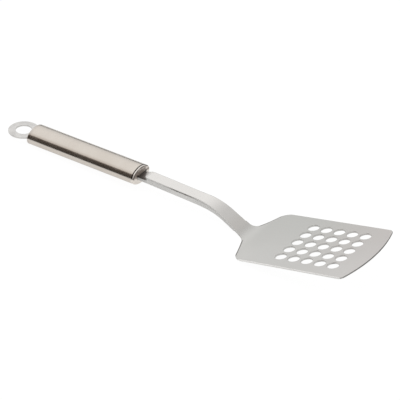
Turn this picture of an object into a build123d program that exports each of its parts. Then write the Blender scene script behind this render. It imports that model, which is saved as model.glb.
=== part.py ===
from build123d import *
from math import acos, asin, atan2, cos, degrees, hypot, pi, radians, sin, sqrt, tan
import os

# A slotted turner in stainless steel. It is drawn first on its blade: the origin is the centre of
# the drain holes on the blade's top face, +X runs to the tip, and +Z is the blade's upper side.
# At the end it is tipped into the way it lies on a table, on its heel and the end of its handle.
# Lengths are in millimetres and angles in degrees.

# Sheet steel of the blade and the neck
sheet = 1.5
edge_round = 0.6

# Drain holes, a square grid
hole_pitch = 12.0
hole_diameter = 9.4
holes_each_way = 5
hole_edge_break = 0.2

# Blade outline, seen from above
tip_reach = 47.0
blade_front_width = 79.1
blade_rear_width = 77.6
front_bow_radius = 119.0
front_corner_radius = 4.6
rear_corner_radius = 11.0
shoulder_angle = 20.2
shoulder_setback = 0.5
shoulder_fillet = 8.0

# Neck outline, seen from above
neck_width = 12.0
heel_width = 17.8
flare_reach = 112.0
flare_radius = 90.0

# Neck, seen from the side, along its upper face. A bend's run is how far it spreads from its corner.
heel_reach = 69.6
heel_angle = 42.0
heel_bend_radius = 18.0
neck_angle = 14.1
neck_bend_run = 13.2

# Sides of the neck, folded down and fading out at the heel
fold_depth = 5.3
fold_radius = 1.4
fold_end_depth = 1.7
fold_end_reach = 9.8
fold_vertex_reach = 3.3
fold_bend_run = 12.0

# Tail of the neck, which dips in front of the handle to a shallow tang on the handle's axis
neck_lift = 2.6
tail_reach = 6.5
tail_bend_run = 1.5
tang_lead = 1.5
tang_depth = 2.5

# Handle tube, a pressed oval whose axis leans back from the blade
handle_angle = 12.5
handle_axis_height = 1.1
handle_reach = 175.0
tube_length = 104.0
handle_width = 23.3
handle_height = 15.0
handle_side_radius = 5.6
tube_wall = 1.0
tube_end_round = 0.2

# Caps, each a plate with a skirt inside the tube
skirt_clearance = 0.1
skirt_wall = 1.0
front_rim_land = 0.4
front_rim_round = 1.4
groove_width = 0.5
groove_depth = 0.6
front_plate = 2.6
front_skirt_length = 8.0
rear_plate = 2.5
rear_edge_round = 0.6
rear_skirt_length = 6.0
slot_clearance = 0.1

# Hanging loop, a flat eye a little under the handle's axis
loop_outer_diameter = 26.2
loop_hole_diameter = 13.8
loop_thickness = 1.2
loop_edge_round = 0.2
loop_tab_width = 10.95
loop_tab_length = 4.5
loop_drop = 0.5

# Hidden weld beads
tang_length = 6.0
weld_leg = 1.0

# All cutting tools run past what they cut by this much
overrun = 20.0


# Points and directions in the side view are (forward, up) pairs.
def rearward(angle):
    """Unit direction of a run that climbs towards the rear at an angle."""
    return Vector(-cos(radians(angle)), sin(radians(angle)))


def upward(angle):
    """Unit normal on the upper side of such a run."""
    return Vector(sin(radians(angle)), cos(radians(angle)))


def under_corner(corner, depth, angle_a, angle_b):
    """The point that lies a depth under both runs that meet at a corner."""
    normal_a, normal_b = upward(angle_a), upward(angle_b)
    return corner - (normal_a + normal_b) * (depth / (1 + normal_a.dot(normal_b)))


def side_view(outline):
    """Lay a face drawn as (forward, up) into the XZ plane."""
    return Plane(origin=(0, 0, 0), x_dir=(1, 0, 0), z_dir=(0, -1, 0)).location * outline


def across(outline):
    """Extrude a side view face to both sides, past the blade's full width."""
    return extrude(side_view(outline), amount=blade_front_width, both=True)


def upright(outline):
    """Extrude a plan face up and down past the neck, which climbs less than it reaches back."""
    return extrude(outline, amount=handle_reach, both=True)


front_face_station = handle_reach - groove_width - front_rim_land - front_rim_round
handle_start = Vector(0, handle_axis_height)
front_inner_station = front_face_station + front_plate
tang_end_station = front_inner_station + tang_length
tang_top = handle_start + upward(handle_angle) * (tang_depth / 2)
tang_start = tang_top + rearward(handle_angle) * (front_face_station - tang_lead)
tang_end = tang_top + rearward(handle_angle) * tang_end_station
over_tang = tang_start + upward(handle_angle) * neck_lift
dip_corner = over_tang - rearward(neck_angle) * tail_reach
tail_angle = degrees(atan2(tang_start.Y - dip_corner.Y, dip_corner.X - tang_start.X))
heel_corner = Vector(-heel_reach, 0)
over_heel = (over_tang - heel_corner).dot(upward(neck_angle))
steep_length = over_heel / rearward(heel_angle).dot(upward(neck_angle))
neck_corner = heel_corner + rearward(heel_angle) * steep_length


def bend_radius(run, turn):
    """Radius of a bend through an angle, which spreads its run both ways."""
    return run / tan(radians(turn) / 2)


neck_bend_radius = bend_radius(neck_bend_run, heel_angle - neck_angle)
fold_bend_radius = bend_radius(fold_bend_run, heel_angle - neck_angle)
dip_bend_radius = bend_radius(tail_bend_run, neck_angle - tail_angle)
tang_bend_radius = bend_radius(tail_bend_run, handle_angle - tail_angle)

# The neck's root is just behind the heel's corner, and the shoulders slope forward from there
shoulder_x = -heel_reach - shoulder_setback
rear_corner_x = shoulder_x + (blade_rear_width - heel_width) / 2 * tan(radians(shoulder_angle))


fold_end = heel_corner + rearward(heel_angle) * fold_end_reach
fold_end_lower = fold_end - upward(heel_angle) * fold_end_depth
fold_vertex = neck_corner - rearward(neck_angle) * fold_vertex_reach - upward(neck_angle) * fold_depth


# Neck: a block between its upper face and its lower edge, then hollowed from below
def neck_plan(inset):
    """Plan of the neck, from past the tang's end to the shoulder corner."""
    half_neck, half_heel = neck_width / 2 - inset, heel_width / 2 - inset
    rear_x = tang_end.X - overrun
    outline = make_face(Polyline(
        (rear_x, -half_neck), (-flare_reach, -half_neck), (shoulder_x, -half_heel),
        (shoulder_x, half_heel), (-flare_reach, half_neck), (rear_x, half_neck), close=True))
    return fillet(outline.vertices().group_by(Axis.X)[1], flare_radius)


def bent(corners, radii):
    """A line through corners in the side view, with a bend at each inner one."""
    pieces, start = [], corners[0]
    for before, corner, after, radius in zip(corners, corners[1:], corners[2:], radii):
        back, ahead = (before - corner).normalized(), (after - corner).normalized()
        run = radius * tan((pi - acos(back.dot(ahead))) / 2)
        bend_start, bend_end = corner + back * run, corner + ahead * run
        pieces += [Line(start, bend_start), TangentArc(bend_start, bend_end, tangent=-back)]
        start = bend_end
    return [*pieces, Line(start, corners[-1])]


def folded_neck():
    radii = (tang_bend_radius, dip_bend_radius, neck_bend_radius)
    upper = bent((tang_end, tang_start, dip_corner, neck_corner, fold_end), radii)
    under_start = tang_start - upward(handle_angle) * tang_depth
    lower_rear = tang_end - upward(handle_angle) * tang_depth
    lower = FilletPolyline(under_start, fold_vertex, fold_end_lower, radius=fold_bend_radius)
    ends = [Polyline(tang_end, lower_rear, under_start), Line(fold_end, fold_end_lower)]
    side = make_face([*upper, lower, *ends])
    block = across(side) & upright(neck_plan(0))
    faces_up = block.faces().filter_by(lambda face: face.normal_at().Z > cos(radians(heel_angle)) / 2)
    block = fillet(faces_up.edges().filter_by(Axis.Y, reverse=True), fold_radius)

    under_tang = tang_end - upward(handle_angle) * sheet + rearward(handle_angle) * overrun
    under_tail = under_corner(tang_start, sheet, handle_angle, tail_angle)
    under_dip = under_corner(dip_corner, sheet, tail_angle, neck_angle)
    under_neck = under_corner(neck_corner, sheet, neck_angle, heel_angle)
    under_end = fold_end - upward(heel_angle) * sheet - rearward(heel_angle) * overrun
    radii = (tang_bend_radius + sheet, dip_bend_radius - sheet, neck_bend_radius - sheet)
    ceiling = bent((under_tang, under_tail, under_dip, under_neck, under_end), radii)
    bottom = under_end.Y - overrun
    walls = Polyline(under_tang, (under_tang.X, bottom), (under_end.X, bottom), under_end)
    hollow = make_face([*ceiling, walls])
    return block - (across(hollow) & upright(neck_plan(sheet)))


def blade_plan():
    """Outline of the blade, its shoulders and the root of the neck, from above."""
    half_front, half_rear = blade_front_width / 2, blade_rear_width / 2
    half_heel, half_neck = heel_width / 2, neck_width / 2
    corner_x = tip_reach - front_bow_radius + sqrt(front_bow_radius**2 - half_front**2)
    sides = Polyline(
        (corner_x, half_front), (rear_corner_x, half_rear), (shoulder_x, half_heel),
        (-flare_reach, half_neck), (-flare_reach, -half_neck), (shoulder_x, -half_heel),
        (rear_corner_x, -half_rear), (corner_x, -half_front))
    bow = ThreePointArc((corner_x, -half_front), (tip_reach, 0), (corner_x, half_front))
    outline = make_face([sides, bow])
    for group, radius in ((3, front_corner_radius), (2, rear_corner_radius), (1, shoulder_fillet)):
        outline = fillet(outline.vertices().group_by(Axis.X)[group], radius)
    return outline


def blade():
    """The flat blade with its heel bend, up to where the folds of the neck begin."""
    tip_x = tip_reach + overrun
    upper = FilletPolyline(fold_end, heel_corner, (tip_x, 0), radius=heel_bend_radius)
    lower_rear = fold_end - upward(heel_angle) * sheet
    lower_corner = under_corner(heel_corner, sheet, heel_angle, 0)
    lower = FilletPolyline(lower_rear, lower_corner, (tip_x, -sheet), radius=heel_bend_radius + sheet)
    side = make_face([upper, lower, Line(fold_end, lower_rear), Line((tip_x, 0), (tip_x, -sheet))])
    body = across(side) & upright(blade_plan())
    cut_end = Axis((0, 0, 0), (sin(radians(heel_angle)), 0, cos(radians(heel_angle))))
    rim = body.edges().filter_by(Axis.Y, reverse=True).filter_by(Axis.Z, reverse=True)
    body = fillet(rim.filter_by(cut_end, reverse=True), edge_round)
    drain = Cylinder(hole_diameter / 2, overrun)
    for place in GridLocations(hole_pitch, hole_pitch, holes_each_way, holes_each_way):
        body -= place * drain
    return chamfer(body.edges().filter_by(is_hole_edge), hole_edge_break)


def is_hole_edge(edge):
    """A full circle of the drain holes' size."""
    return edge.geom_type == GeomType.CIRCLE and edge.is_closed and edge.radius < hole_diameter


# Handle: drawn along its own axis, Z to the rear and X up, from under the hole grid's centre
handle_frame = Plane(
    origin=(0, 0, handle_axis_height),
    x_dir=(sin(radians(handle_angle)), 0, cos(radians(handle_angle))),
    z_dir=(-cos(radians(handle_angle)), 0, sin(radians(handle_angle)))).location


def oval(inset):
    """The handle's section, four tangent arcs, drawn in by an inset all round."""
    half_height = handle_height / 2
    side_centre = handle_width / 2 - handle_side_radius
    flat_radius = (side_centre**2 + half_height**2 - handle_side_radius**2) / 2
    flat_radius /= half_height - handle_side_radius
    flat_centre = half_height - flat_radius
    lean = atan2(side_centre, -flat_centre)
    flat, side = flat_radius - inset, handle_side_radius - inset
    meet = (flat_centre + flat * cos(lean), flat * sin(lean))
    top = ThreePointArc((meet[0], -meet[1]), (half_height - inset, 0), meet)
    right = ThreePointArc(meet, (0, side_centre + side), (-meet[0], meet[1]))
    bottom = ThreePointArc((-meet[0], meet[1]), (inset - half_height, 0), (-meet[0], -meet[1]))
    left = ThreePointArc((-meet[0], -meet[1]), (0, -side_centre - side), (meet[0], -meet[1]))
    return make_face([top, right, bottom, left])


def oval_bar(inset, start, end):
    """A length of the handle's section, between two stations on the axis."""
    return Pos(0, 0, start) * extrude(oval(inset), amount=end - start)


def end_edges(body, rear):
    """Edges round the front or the rear end of a bar."""
    return body.faces().sort_by(Axis.Z)[-1 if rear else 0].edges()


skirt_inset = tube_wall + skirt_clearance
cup_inset = skirt_inset + skirt_wall

# The loop's tab is as wide as its eye where the two meet, at the handle's rear face
tube_end_station = handle_reach + tube_length
rear_face_station = tube_end_station + rear_plate
loop_station = rear_face_station + sqrt(loop_outer_diameter**2 - loop_tab_width**2) / 2


def handle_tube():
    outside = oval_bar(0, handle_reach, tube_end_station)
    outside = fillet(end_edges(outside, rear=False), tube_end_round)
    return outside - oval_bar(tube_wall, handle_reach - overrun, tube_end_station + overrun)


def tang_section(grow):
    """The folded tang's section where it enters the handle."""
    half, depth = neck_width / 2 + grow, tang_depth + 2 * grow
    outer = fillet(Rectangle(depth, 2 * half).vertices().group_by(Axis.X)[-1], fold_radius + grow)
    channel = Rectangle(depth + overrun, 2 * (neck_width / 2 - sheet - grow))
    return outer - Pos(-sheet - grow - overrun / 2, 0) * channel


def front_cap():
    rim = oval_bar(0, front_face_station, handle_reach - groove_width)
    rim = fillet(end_edges(rim, rear=False), front_rim_round)
    rim = fillet(end_edges(rim, rear=True), tube_end_round)
    step = oval_bar(groove_depth, handle_reach - groove_width, handle_reach)
    skirt = oval_bar(skirt_inset, handle_reach, handle_reach + front_skirt_length)
    cup = oval_bar(cup_inset, front_inner_station, handle_reach + front_skirt_length + overrun)
    cap = handle_frame * (rim + step + skirt - cup)
    slot = extrude(tang_section(slot_clearance), amount=tang_end_station + overrun)
    return cap - handle_frame * slot


def neck_weld():
    """Bead round the tang, on the inner face of the front cap's plate."""
    bead = Rectangle(tang_depth + 2 * weld_leg, neck_width + 2 * weld_leg)
    bead = fillet(bead.vertices(), weld_leg)
    tang = Rectangle(tang_depth, neck_width)
    tang = fillet(tang.vertices().group_by(Axis.X)[-1], fold_radius)
    return handle_frame * Pos(0, 0, front_inner_station) * extrude(bead - tang, amount=weld_leg)


def flat_bar(width, thickness, start, end):
    """A flat bar on the handle's axis, lying across it."""
    return Pos(0, 0, (start + end) / 2) * Box(thickness, width, end - start)


def rear_cap():
    plate = oval_bar(0, tube_end_station, rear_face_station)
    plate = fillet(end_edges(plate, rear=True), rear_edge_round)
    skirt = oval_bar(skirt_inset, tube_end_station - rear_skirt_length, tube_end_station)
    cup = oval_bar(cup_inset, tube_end_station - rear_skirt_length - overrun, tube_end_station)
    slot = flat_bar(loop_tab_width + 2 * slot_clearance, loop_thickness + 2 * slot_clearance,
                    tube_end_station - overrun, rear_face_station + overrun)
    return handle_frame * (plate + skirt - cup - Pos(-loop_drop, 0, 0) * slot)


def hanging_loop():
    flat = Rot(0, 90, 0) * Cylinder(loop_outer_diameter / 2, loop_thickness)
    hole = Rot(0, 90, 0) * Cylinder(loop_hole_diameter / 2, overrun)
    tab = flat_bar(loop_tab_width, loop_thickness, tube_end_station - loop_tab_length, loop_station)
    eye = Pos(0, 0, loop_station) * (flat - hole)
    eye += tab - Pos(0, 0, loop_station) * hole
    rims = eye.edges().filter_by(GeomType.CIRCLE)
    return handle_frame * Pos(-loop_drop, 0, 0) * fillet(rims, loop_edge_round)


def loop_weld():
    """Bead round the loop's tab, on the inner face of the rear cap's plate."""
    width, height = loop_tab_width, loop_thickness
    start = tube_end_station - weld_leg
    bead = flat_bar(width + 2 * weld_leg, height + 2 * weld_leg, start, tube_end_station)
    bead = fillet(bead.edges().filter_by(Axis.Z), weld_leg / 2)
    bead -= flat_bar(width, height, start - overrun, tube_end_station + overrun)
    return handle_frame * Pos(-loop_drop, 0, 0) * bead


# How the tool lies: one line touches the round of the heel and the round of the handle's rear end
def lying_angle():
    bend_lean = radians(heel_angle) / 2
    heel_centre = Vector(-heel_reach + heel_bend_radius * tan(bend_lean), heel_bend_radius)
    axis_point = handle_start + rearward(handle_angle) * (rear_face_station - rear_edge_round)
    end_centre = axis_point - upward(handle_angle) * (handle_height / 2 - rear_edge_round)
    back, up = heel_centre.X - end_centre.X, end_centre.Y - heel_centre.Y
    drop = heel_bend_radius + sheet - rear_edge_round
    return degrees(atan2(up, back) + asin(drop / hypot(back, up)))


parts = {
    "blade_and_neck": blade() + folded_neck(),
    "front_cap": front_cap(),
    "handle_tube": handle_frame * handle_tube(),
    "rear_cap": rear_cap(),
    "hanging_loop": hanging_loop(),
    "neck_weld": neck_weld(),
    "loop_weld": loop_weld(),
}

tipped = {name: Rot(0, -lying_angle(), 0) * shape for name, shape in parts.items()}
box = Compound(list(tipped.values())).bounding_box()
settle = Pos(-(box.min.X + box.max.X) / 2, 0, -box.min.Z)

os.makedirs("parts", exist_ok=True)
for name, shape in tipped.items():
    export_step(settle * shape, f"parts/{name}.step")

print(f"lies at {lying_angle():.2f} degrees, origin moved by {settle.position}")
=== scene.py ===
from math import cos, radians, sin
import bmesh
import bpy
from mathutils import Matrix, Vector

# A slotted turner in stainless steel, lying on its heel and the end of its handle.
# Lengths are in metres. +X runs to the tip, the table is at Z = 0.
# A fade is a pair: the value where it starts, and the one where it is full.

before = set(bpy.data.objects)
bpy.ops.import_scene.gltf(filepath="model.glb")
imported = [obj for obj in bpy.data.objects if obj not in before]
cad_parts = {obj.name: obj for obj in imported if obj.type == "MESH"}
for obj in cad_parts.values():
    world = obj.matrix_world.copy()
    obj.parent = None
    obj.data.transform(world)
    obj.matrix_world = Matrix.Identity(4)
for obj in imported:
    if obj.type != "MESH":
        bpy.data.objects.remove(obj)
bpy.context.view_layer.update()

# The handle's axis runs back from a point over the blade, and the front cap's face is this far along
axis_start = (0.130137, 0.019297)
handle_lean = radians(-2.408)
front_face_station = 0.1727

# The blade's slope, and the centre of its drain holes
blade_lean = radians(14.908)
blade_origin = (0.130420, 0.018234)

# Outlines that the finish follows: the blade's sides, its shoulders and its bowed front edge, and the
# neck's sides with their flare
side_start, side_half_width, side_slope = 0.08, 0.0382, 0.0083
shoulder_start, shoulder_slope = 0.05952, 0.3555
tip_end, bow_curve = 0.17607, 4.06
neck_half_width, flare_reach, flare_slope = 0.0060, 0.112, 0.0692

# Camera, at the photograph's angle
camera_target = Vector((0.0148, 0, 0.0121))
camera_distance = 1.880
camera_azimuth = radians(-32.400)
camera_elevation = radians(34.843)
camera_roll = radians(3.311)
camera_lens = 211.54
sensor_width = 36
near_clip, far_clip = 0.05, 50


class Value:
    """A shader socket that takes part in Python sums."""

    def __init__(self, tree, socket):
        self.tree, self.socket = tree, socket

    def math(self, operation, *others, swap=False):
        inputs = [self, *others]
        if swap:
            inputs.reverse()
        return self.tree.add("Math", {"operation": operation}, *inputs)

    def __add__(self, other):
        return self.math("ADD", other)

    def __sub__(self, other):
        return self.math("SUBTRACT", other)

    def __rsub__(self, other):
        return self.math("SUBTRACT", other, swap=True)

    def __mul__(self, other):
        return self.math("MULTIPLY", other)

    def __pow__(self, other):
        return self.math("POWER", other)

    def __abs__(self):
        return self.math("ABSOLUTE")

    def larger(self, other):
        return self.math("MAXIMUM", other)

    __radd__, __rmul__ = __add__, __mul__


class Shader:
    """The node tree of a material or of the world."""

    def __init__(self, owner):
        owner.use_nodes = True
        self.nodes, self.links = owner.node_tree.nodes, owner.node_tree.links
        self.nodes.clear()

    def add(self, kind, settings=None, *inputs, out=0, **named):
        """A new node with its settings, its inputs by place or by name, and one of its outputs."""
        node = self.nodes.new("ShaderNode" + kind)
        for name, setting in (settings or {}).items():
            setattr(node, name, setting)
        by_name = {socket.identifier.replace(" ", "_"): socket for socket in node.inputs}
        sockets = [(node.inputs[place], value) for place, value in enumerate(inputs)]
        sockets += [(by_name[name], value) for name, value in named.items()]
        for socket, value in sockets:
            if isinstance(value, Value):
                self.links.new(value.socket, socket)
            else:
                socket.default_value = value
        return Value(self, node.outputs[out]) if node.outputs else node

    def step(self, value, start, full):
        """Rises smoothly from 0 to 1 as the value goes from start to full."""
        settings = {"interpolation_type": "SMOOTHSTEP"}
        return self.add("MapRange", settings, value, start, full, 0.0, 1.0)

    def blend(self, factor, first, second):
        """Mixes two colours."""
        colours = {"Factor_Float": factor, "A_Color": first, "B_Color": second}
        return self.add("Mix", {"data_type": "RGBA"}, out=2, **colours)

    def noise(self, where, scale, detail, roughness=0.5):
        return self.add("TexNoise", {}, where, Scale=scale, Detail=detail, Roughness=roughness)

    def bump(self, height, strength, distance=0.00002):
        return self.add("Bump", {}, Strength=strength, Distance=distance, Height=height)

    def parts(self, vector):
        """The three coordinates of a vector."""
        split = self.add("SeparateXYZ", {}, vector).socket.node
        return [Value(self, output) for output in split.outputs]


def place_on(shader, turn=(0, 0, 0), stretch=(1, 1, 1)):
    """Object coordinates, turned and stretched for a pattern that runs one way."""
    where = shader.add("TexCoord", {}, out="Object")
    return shader.add("Mapping", {}, where, Rotation=turn, Scale=stretch)


def on_handle(shader):
    """Station along the handle from its axis's start, and the places across and above the axis."""
    x, across, z = shader.parts(place_on(shader))
    forward, up = x - axis_start[0], z - axis_start[1]
    lean_cos, lean_sin = cos(handle_lean), sin(handle_lean)
    return forward * -lean_cos + up * lean_sin, across, forward * lean_sin + up * lean_cos


def steel(name):
    material = bpy.data.materials.new(name)
    return material, Shader(material)


def close(shader, **sockets):
    """The steel itself, metal all through unless a socket says otherwise."""
    surface = shader.add("BsdfPrincipled", {}, **{"Metallic": 1.0, **sockets})
    shader.add("OutputMaterial", {}, surface)


def dress(node, material):
    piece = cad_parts[node]
    piece.data.materials.clear()
    piece.data.materials.append(material)


# Painted shade darkens the groove between the tube and the front cap over the handle's upper half, and
# painted light makes the edges beside it bright under that
painted_shade_tone = (0.045, 0.034, 0.028, 1)
painted_light_tone = (0.95, 0.92, 0.88, 1)
upper_fade = -0.0005, 0.002

# Handle tube: brushed round and round, so the marks are thin rings with short breaks
tube_line_pitch = 0.00045
tube_tones = (0.645, 0.590, 0.530, 1), (0.700, 0.648, 0.590, 1)
tube_end_fade = 0.17560, 0.17535


def brushed_tube():
    material, shader = steel("brushed_tube_steel")
    turn = (0, -handle_lean, 0)
    fine = shader.noise(place_on(shader, turn, (1 / tube_line_pitch, 40, 40)), 1.0, 3.0, 0.65)
    wide = shader.noise(place_on(shader, turn, (60, 30, 30)), 1.0, 3.0, 0.6)
    marks = shader.step(fine * 0.45 + wide * 0.55, 0.3, 0.7)
    station, _, height = on_handle(shader)
    end, upper = shader.step(station, *tube_end_fade), shader.step(height, *upper_fade)
    # Painted shade darkens the tube's end at the groove over the upper half, and painted light
    # brightens it under that
    colour = shader.blend(end * upper * 0.9, shader.blend(marks, *tube_tones), painted_shade_tone)
    colour = shader.blend(end * (1 - upper), colour, painted_light_tone)
    close(shader, Base_Color=colour, Roughness=0.19 + marks * 0.06, Normal=shader.bump(fine, 0.12))
    return material


# Blade: satin, warmer at the tip, with painted light making it lighter towards −Y, a painted
# reflection making its sheared sides pale, and painted shade as dark lines along its shoulders and its
# front edge
satin, satin_tip, satin_lit_side = (0.60, 0.598, 0.575, 1), (0.635, 0.605, 0.585, 1), (0.71, 0.70, 0.68, 1)
painted_edge_reflection, painted_edge_shade = (0.95, 0.94, 0.92, 1), (0.14, 0.13, 0.12, 1)
tip_fade, lit_side_fade, sheared_fade = (0.10, 0.17), (0.04, -0.04), (-0.0003, 0.0003)
shoulder_fade, bow_fade = (0.0012, 0.0007), (0.0005, 0.0002)
shoulder_inner_fade, shoulder_outer_fade = (0.011, 0.014), (0.037, 0.033)


def blade_tone(shader, along, across, sheared):
    beside = abs(across)
    tone = shader.blend(shader.step(along, *tip_fade), satin, satin_tip)
    # Painted light: the blade lighter towards −Y
    tone = shader.blend(shader.step(across, *lit_side_fade) * 0.6, tone, satin_lit_side)
    # Painted reflection: the sheared sides painted pale, and made half metal further down
    tone = shader.blend(sheared, tone, painted_edge_reflection)
    # Painted shade: dark lines along the shoulders and the bowed front edge
    from_shoulder = (along - shoulder_start - beside * shoulder_slope) * cos(shoulder_slope)
    edge_shade = shader.step(from_shoulder, *shoulder_fade) * shader.step(beside, *shoulder_inner_fade)
    edge_shade = edge_shade * shader.step(beside, *shoulder_outer_fade)
    from_bow = tip_end - beside * beside * bow_curve - along
    return shader.blend(edge_shade.larger(shader.step(from_bow, *bow_fade) * 0.75), tone, painted_edge_shade)


# Neck: polished from the heel to the cap, with dull folded sides that are rubbed bright in the middle
neck_polish, heel_polish = (0.785, 0.765, 0.74, 1), (0.72, 0.695, 0.665, 1)
folded_side = (0.68, 0.67, 0.65, 1)
polish_fade, heel_fade, fold_fade = (0.064, 0.052), (0.042, 0.052), (-0.0011, -0.0006)
rubbed_rear_fade, rubbed_front_fade = (-0.016, -0.006), (0.020, 0.006)

# Painted reflection of the cap's dark face, as dark colour where the neck dips in front of the cap.
# Its edge is slanted and swings forward at the sides.
painted_cap_reflection = (0.15, 0.130, 0.120, 1), (0.07, 0.06, 0.052, 1)
dip_fade = -0.0332, -0.0352
reflection_fade, deep_reflection_fade = (-0.0368, -0.0394), (-0.0392, -0.0440)
reflection_slant, side_swing, swing_fade = 0.486, 0.0013, (0.0045, 0.006)
reflection_foot_slope, reflection_foot_fade = 0.11, (0.0171, 0.0177)


def neck_tone(shader, place, cloud, fold):
    along, across, up = place
    tone = shader.blend(shader.step(along, *heel_fade), neck_polish, heel_polish)
    tone = shader.blend(fold, tone, folded_side)
    edge = along + across * reflection_slant + (cloud - 0.5) * 0.001
    edge = edge - shader.step(abs(across), *swing_fade) * side_swing
    above_foot = shader.step(up - along * reflection_foot_slope, *reflection_foot_fade)
    # Painted reflection of the cap's dark face, dark just in front of the cap
    painted_darkening = shader.blend(shader.step(edge, *deep_reflection_fade), *painted_cap_reflection)
    return shader.blend(shader.step(edge, *reflection_fade) * above_foot, tone, painted_darkening)


# Cloudy stains and the grain across the blade, over blade and neck alike
stain, stain_fade = (0.52, 0.51, 0.49, 1), (0.35, 0.75)
blade_grain_pitch = 0.0007


def blade_steel():
    material, shader = steel("satin_blade_steel")
    place = shader.parts(place_on(shader))
    along, across, up = place
    beside = abs(across)
    grain = place_on(shader, (0, blade_lean, 0), (30, 1 / blade_grain_pitch, 30))
    fine = shader.noise(grain, 1.0, 3.0, 0.6)
    cloud = shader.noise(place_on(shader), 22.0, 2.0)

    side_here = side_half_width + (along - side_start) * side_slope
    sheared = shader.step(beside - side_here, *sheared_fade)
    polish = shader.step(along, *polish_fade)
    plan = (along - blade_origin[0]) * cos(blade_lean) + (up - blade_origin[1]) * sin(blade_lean)
    neck_here = neck_half_width + (plan + flare_reach).larger(0) * flare_slope
    fold = shader.step(beside - neck_here, *fold_fade) * polish
    rubbed = shader.step(along, *rubbed_rear_fade) * shader.step(along, *rubbed_front_fade)
    dull_fold = fold * (1 - rubbed * 0.6)
    dip = shader.step(along, *dip_fade)

    tone = blade_tone(shader, along, across, sheared)
    tone = shader.blend(polish, tone, neck_tone(shader, place, cloud, fold))
    colour = shader.blend(shader.step(cloud, *stain_fade) * 0.12, tone, stain)
    rough = 0.30 + fine * 0.10 - polish * 0.24 + dull_fold * 0.42 + sheared * 0.4 + dip * 0.35
    metal = 1 - sheared * 0.5 - dull_fold.larger(dip) * 0.5
    close(shader, Base_Color=colour, Roughness=rough, Metallic=metal, Normal=shader.bump(fine, 0.06))
    return material


# Rear cap and loop
def polished_steel(name, colour, roughness):
    material, shader = steel(name)
    cloud = shader.noise(place_on(shader), 160.0, 3.0, 0.6)
    darker = tuple(0.86 * part for part in colour)
    tone = shader.blend(shader.step(cloud, 0.35, 0.7), (*colour, 1), (*darker, 1))
    close(shader, Base_Color=tone, Roughness=roughness + cloud * 0.06, Normal=shader.bump(cloud, 0.05))
    return material


# Front cap: polished, with a pale band behind its face. Painted shade makes the face's upper half
# dark, dull grey, and darkens the groove, the rim and where the neck goes in; a painted highlight and
# painted light on the underside brighten it. Depths are from its face, other places from the handle's
# axis.
cap_tones = (0.69, 0.635, 0.585, 1), (0.62, 0.565, 0.515, 1)
cap_face_shade, cap_band = (0.275, 0.230, 0.198, 1), (0.84, 0.79, 0.74, 1)
cap_lit_underside = (0.82, 0.765, 0.705, 1)
slot_corner_shade = (0.008, 0.007, 0.006, 1)
face_fade, band_fade, groove_fade = (0.0003, 0.0001), (0.0007, 0.0010), (0.00165, 0.00185)
rim_front_fade, rim_rear_fade, rim_side_fade = (0.00005, 0.0002), (0.0008, 0.0005), (-0.002, -0.006)
slot_half_width, slot_half_height = 0.0058, 0.00125
slot_fade, slot_depth_fade = (0.0007, 0.0002), (0.00025, 0.0001)
corner_height, corner_fade, corner_shade_fade = 0.0015, (0.0016, 0.0009), (0.0012, 0.0006)
highlight_side_fade, highlight_foot_fade, highlight_top_fade = (0.0045, 0.0065), (0.0018, 0.0034), (0.0045, 0.0065)


def front_cap_steel():
    material, shader = steel("front_cap_steel")
    station, across, height = on_handle(shader)
    depth = station - front_face_station
    cloud = shader.noise(place_on(shader), 300.0, 3.0, 0.6)
    upper = shader.step(height, *upper_fade)

    # Painted shade: dark at the slot's corners and round its edges, and in the groove and along the
    # rim's inner edge over the upper half
    beside, above = abs(across) - slot_half_width, height - corner_height
    corner = (beside * beside + above * above) ** 0.5 + (cloud - 0.5) * 0.0006
    clear = beside.larger(abs(height) - slot_half_height)
    slot_shade = shader.step(corner, *corner_fade).larger(shader.step(clear, *slot_fade) * 0.8)
    slot_shade = slot_shade * shader.step(depth, *slot_depth_fade)
    groove = shader.step(depth, *groove_fade)
    rim_shade = shader.step(depth, *rim_front_fade) * shader.step(depth, *rim_rear_fade)
    rim_shade = rim_shade * upper * shader.step(across, *rim_side_fade) * 0.9
    painted_darkening = slot_shade.larger((groove * upper).larger(rim_shade))

    # Painted highlight on the face's top and +Y side; the rest of the face's upper half is painted
    # shade, dark and dull
    painted_highlight = shader.step(across, *highlight_side_fade) * shader.step(height, *highlight_foot_fade)
    painted_highlight = painted_highlight.larger(shader.step(height, *highlight_top_fade) * 0.6)
    shaded_face = shader.step(depth, *face_fade) * (1 - painted_highlight) * upper
    tone = shader.blend(shader.step(cloud, 0.35, 0.7), *cap_tones)
    tone = shader.blend(shaded_face, tone, cap_face_shade)
    tone = shader.blend(shader.step(depth, *band_fade), tone, cap_band)
    # Painted light: the cap's lower half lighter, and its groove brightened
    tone = shader.blend(upper, cap_lit_underside, tone)
    tone = shader.blend(groove * (1 - upper), tone, painted_light_tone)
    shade_colour = shader.blend(shader.step(corner, *corner_shade_fade), painted_shade_tone, slot_corner_shade)
    colour = shader.blend(painted_darkening * 0.92, tone, shade_colour)
    rough = 0.07 + painted_darkening.larger(shaded_face) * 0.3
    close(shader, Base_Color=colour, Roughness=rough, Metallic=1 - shaded_face * 0.85)
    return material


# Bare weld, with its straw and blue heat colours
straw_heat, blue_heat = (0.30, 0.24, 0.17, 1), (0.22, 0.25, 0.33, 1)


def weld_steel():
    material, shader = steel("weld_steel")
    cloud = shader.noise(place_on(shader), 900.0, 4.0)
    tone = shader.blend(shader.step(cloud, 0.35, 0.65), straw_heat, blue_heat)
    bump = shader.bump(cloud, 0.4, distance=0.0002)
    close(shader, Base_Color=tone, Roughness=0.35 + cloud * 0.2, Normal=bump)
    return material


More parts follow.
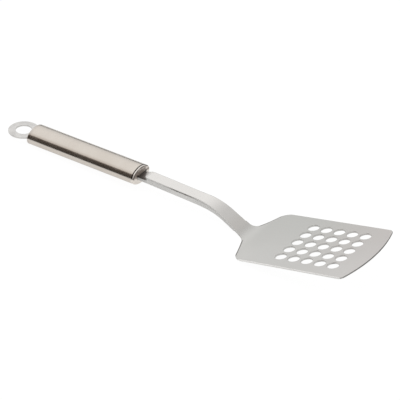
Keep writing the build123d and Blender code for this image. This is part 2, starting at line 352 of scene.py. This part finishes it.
dress("handle_tube", brushed_tube())
dress("blade_and_neck", blade_steel())
dress("front_cap", front_cap_steel())
dress("rear_cap", polished_steel("satin_cap_steel", (0.66, 0.61, 0.56), 0.18))
dress("hanging_loop", polished_steel("loop_steel", (0.71, 0.695, 0.675), 0.16))
weld = weld_steel()
dress("neck_weld", weld)
dress("loop_weld", weld)


def seen_white(shader):
    """Two switches: for rays that look at a thing straight or through glass, and by way of metal."""
    rays = ("Is Camera Ray", "Is Transmission Ray", "Is Glossy Ray")
    straight, through, mirrored = (shader.add("LightPath", {}, out=ray) for ray in rays)
    return straight.larger(through), mirrored


# Table. The steel mirrors it bright in the middle, and dark past its front edge and far behind.
table_size = 6.0
table_grey = 0.80
table_front_fade, table_rear_fade = (-0.052, -0.090), (0.06, 0.16)


def table():
    grid = bmesh.new()
    bmesh.ops.create_grid(grid, x_segments=1, y_segments=1, size=table_size / 2)
    mesh = bpy.data.meshes.new("table")
    grid.to_mesh(mesh)
    grid.free()
    top = bpy.data.objects.new("table", mesh)
    bpy.context.scene.collection.objects.link(top)
    material = bpy.data.materials.new("table_white")
    shader = Shader(material)
    paint = shader.add("BsdfDiffuse", {}, (table_grey, table_grey, table_grey, 1))
    straight, mirrored = seen_white(shader)
    _, deep, _ = shader.parts(place_on(shader))
    front = shader.step(deep, *table_front_fade)
    rear = shader.step(deep, *table_rear_fade) * 0.88
    lit = 0.95 * (1 - front * 0.95) * (1 - rear)
    glow = shader.add("Emission", {}, (1, 1, 1, 1), straight * 1.06 + mirrored * lit)
    share = straight * 0.89 + mirrored * (0.65 + front.larger(rear) * 0.35)
    shader.add("OutputMaterial", {}, shader.add("MixShader", {}, share, paint, glow))
    mesh.materials.append(material)


table()

# Studio: a bright room, dimmer to the right and low down, with a warm dark stretch behind the camera.
# Its fades are in the parts of a direction.
stretch_deep_fade, stretch_top_fade = (-0.02, -0.30), (0.90, 0.70)
stretch_right_fade, stretch_left_fade = (-0.12, -0.26), (-0.88, -0.68)
stretch_tint = (1, 0.80, 0.66, 1)
right_fade, upward_fade = (-0.45, 0.20), (0.0, 0.7)
far_right_fade, far_right_deep_fade = (0.28, 0.50), (0.50, 0.60)
low_fade, low_deep_fade = (0.16, 0.02), (-0.1, 0.2)


def studio():
    world = bpy.data.worlds.new("studio")
    bpy.context.scene.world = world
    shader = Shader(world)
    across, deep, up = shader.parts(shader.add("TexCoord", {}, out="Generated"))
    stretch = shader.step(deep, *stretch_deep_fade) * shader.step(up, *stretch_top_fade)
    stretch = stretch * shader.step(across, *stretch_right_fade)
    stretch = stretch * shader.step(across, *stretch_left_fade)
    right = shader.step(across, *right_fade) * 0.32
    far_right = shader.step(across, *far_right_fade) * shader.step(deep, *far_right_deep_fade) * 0.78
    low = shader.step(up, *low_fade) * shader.step(deep, *low_deep_fade) * 0.7
    room = 0.82 + shader.step(up, *upward_fade) * 0.2
    room = room * (1 - right) * (1 - far_right) * (1 - stretch * 0.94) * (1 - low)
    straight, mirrored = seen_white(shader)
    strength = straight + mirrored * room + (1 - straight) * (1 - mirrored) * 0.85
    colour = shader.blend(mirrored * stretch, (1, 1, 1, 1), stretch_tint)
    shader.add("OutputWorld", {}, shader.add("Background", {}, colour, strength))


studio()


def lamp(name, place, size, power):
    light = bpy.data.lights.new(name, "AREA")
    light.shape, light.size, light.energy = "SQUARE", size, power
    thing = bpy.data.objects.new(name, light)
    thing.location = place
    thing.rotation_mode = "QUATERNION"
    thing.rotation_quaternion = (Vector(place) - camera_target).to_track_quat("Z", "Y")
    thing.visible_glossy = False
    bpy.context.scene.collection.objects.link(thing)


lamp("soft_box", (-0.4, -0.3, 1.6), 1.4, 6)


def camera():
    lens = bpy.data.cameras.new("camera")
    lens.lens, lens.sensor_width = camera_lens, sensor_width
    lens.clip_start, lens.clip_end = near_clip, far_clip
    eye = bpy.data.objects.new("camera", lens)
    flat = cos(camera_elevation)
    look = Vector((sin(camera_azimuth) * flat, cos(camera_azimuth) * flat, -sin(camera_elevation)))
    eye.rotation_mode = "QUATERNION"
    turn = look.to_track_quat("-Z", "Y").to_matrix().to_4x4() @ Matrix.Rotation(camera_roll, 4, "Z")
    eye.rotation_quaternion = turn.to_quaternion()
    eye.location = camera_target - look * camera_distance
    bpy.context.scene.collection.objects.link(eye)
    bpy.context.scene.camera = eye


camera()
bpy.context.scene.view_settings.view_transform = "Standard"
